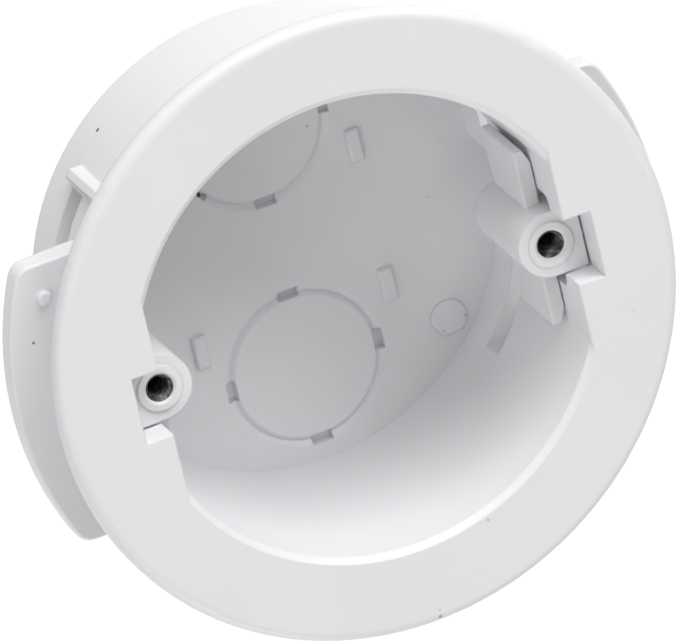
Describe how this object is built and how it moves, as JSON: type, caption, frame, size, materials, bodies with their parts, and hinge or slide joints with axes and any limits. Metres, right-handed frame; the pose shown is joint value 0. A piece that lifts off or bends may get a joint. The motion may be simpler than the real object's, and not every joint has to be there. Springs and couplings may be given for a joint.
{
  "type": "round back box",
  "caption": "Round hollow-wall back box: a flanged white cup with knock-outs in its floor and sliding lugs that grip the board.",
  "frame": {"origin": "centre of the back face, on which the box lies", "axes": "+Z out of the mouth, X along the line of the two fixing screws, Y across it"},
  "size_m": [0.0984, 0.0934, 0.0382],
  "materials": {
    "body_plastic": "satin moulded white",
    "lug_plastic": "satin moulded white",
    "insert_metal": "plated, dark in the bore"
  },
  "bodies": {
    "box": {"box_body": "body_plastic"},
    "right_clamp": {"right_lug": "lug_plastic", "right_insert": "insert_metal"},
    "left_clamp": {"left_lug": "lug_plastic", "left_insert": "insert_metal"}
  },
  "joints": [
    {"name": "right_lug_slide", "type": "slide", "parent": "box", "child": "right_clamp", "axis": [0, 0, -1], "range_m": [0, 0.0139]},
    {"name": "left_lug_slide", "type": "slide", "parent": "box", "child": "left_clamp", "axis": [0, 0, -1], "range_m": [0, 0.0139]}
  ]
}
